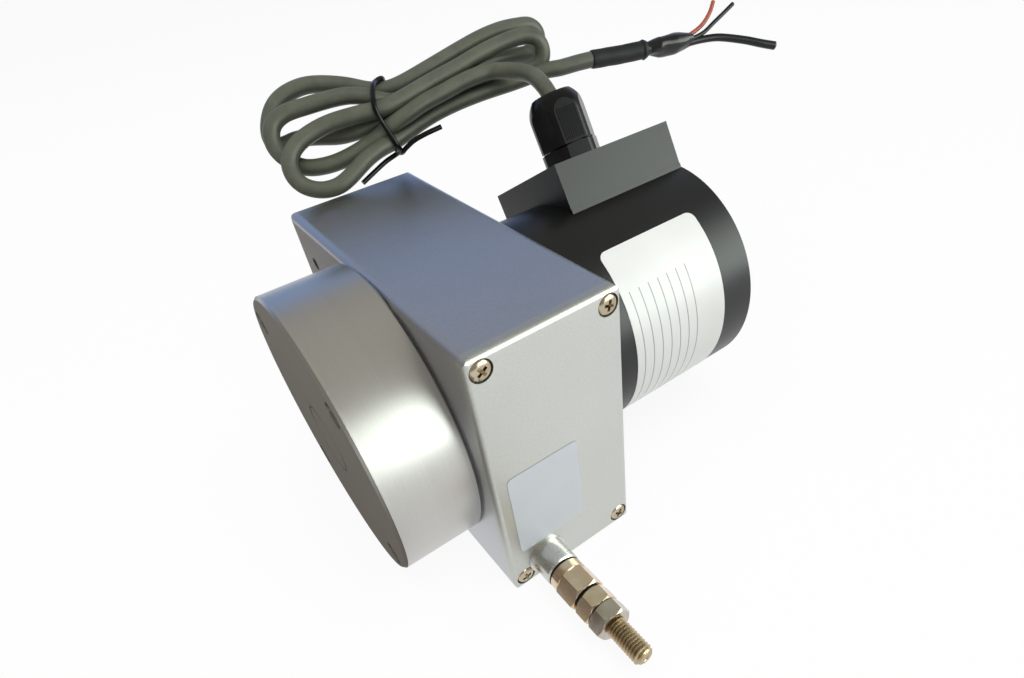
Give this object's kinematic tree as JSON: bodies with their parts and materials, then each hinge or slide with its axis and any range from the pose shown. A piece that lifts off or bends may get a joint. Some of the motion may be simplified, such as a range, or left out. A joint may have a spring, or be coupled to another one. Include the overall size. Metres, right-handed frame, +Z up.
{
  "type": "draw wire encoder",
  "caption": "Draw wire displacement encoder: square drum housing with a pull-out measuring wire, round spring housing on one side, black rotary encoder with a cable on the other.",
  "frame": {"origin": "centre of the housing's flat base", "axes": "+X along the drum shaft, from the spring housing towards the encoder; +Y from the wire exit to the back of the housing; +Z up from the base"},
  "size_m": [0.1746, 0.1484, 0.1003],
  "materials": {
    "housing_aluminium": "satin anodised",
    "plate_aluminium": "satin anodised",
    "spring_housing_aluminium": "turned, satin",
    "encoder_black": "black anodised, satin",
    "black_plastic": "glossy black",
    "black_rubber": "matt",
    "nickel_screws": "nickel plated",
    "brass_fitting": "pale brass",
    "steel": "plain steel",
    "spring_steel": "blued strip",
    "drum_aluminium": "turned",
    "base_aluminium": "turned",
    "ceramic": "smooth",
    "felt": "felt",
    "board_green": "circuit board",
    "disc_glass": "clear",
    "cable_grey": "grey-green sheath",
    "sleeve_black": "heat shrink",
    "lead_red": "orange-red insulation",
    "lead_black": "black insulation"
  },
  "bodies": {
    "housing": {"housing": "housing_aluminium", "front_plate": "plate_aluminium", "back_plate": "plate_aluminium", "front_plate_screws": "nickel_screws", "back_plate_screws": "nickel_screws", "wire_nozzle": "plate_aluminium", "nozzle_ring": "black_rubber", "nozzle_bush": "ceramic", "wire_wiper": "felt", "bearing_outer_rings": "steel", "bearing_balls": "steel", "spring_housing": "spring_housing_aluminium", "spring_housing_screws": "steel", "centre_cap": "spring_housing_aluminium", "power_spring": "spring_steel", "encoder_base": "base_aluminium", "encoder_base_screws": "steel", "encoder_housing": "encoder_black", "encoder_pillars": "brass_fitting", "cover_screws": "steel", "circuit_board": "board_green", "read_head": "black_plastic", "gland_body": "black_plastic", "gland_nut": "black_plastic", "gland_seal": "black_rubber", "cable_lead": "cable_grey", "cable_hank": "cable_grey", "cable_tail": "cable_grey", "shrink_sleeve": "sleeve_black", "wrinkled_sleeve": "sleeve_black", "lead_red": "lead_red", "lead_black": "lead_black", "lead_screen": "lead_black", "hank_tie": "black_plastic"},
    "drum": {"measuring_drum": "drum_aluminium", "wound_wire": "steel", "drum_shaft": "steel", "circlips": "spring_steel", "bearing_inner_rings": "steel", "spring_arbor": "steel", "shaft_coupling": "drum_aluminium", "coupling_screws": "steel", "encoder_shaft": "steel", "disc_hub": "drum_aluminium", "code_disc": "disc_glass"},
    "wire_end": {"stop_ring": "black_rubber", "wire_clamp_body": "brass_fitting", "spacer_ring": "black_rubber", "lock_nut": "brass_fitting", "stud_nut": "steel", "threaded_stud": "steel", "draw_wire": "steel"}
  },
  "joints": [
    {"name": "drum_spin", "type": "hinge", "parent": "housing", "child": "drum", "pos_m": [0, -0.00325, 0.0355], "axis": [-1, 0, 0], "range_deg": [0, 2963.5], "stiffness_Nm_per_rad": 0.001, "springref_deg": -8594.37},
    {"name": "wire_pull", "type": "slide", "parent": "housing", "child": "wire_end", "axis": [0, -1, 0], "range_m": [0, 1.5]}
  ],
  "couplings": [
    {"joint": "wire_pull", "follows": "drum_spin", "m_per_rad": 0.029}
  ]
}
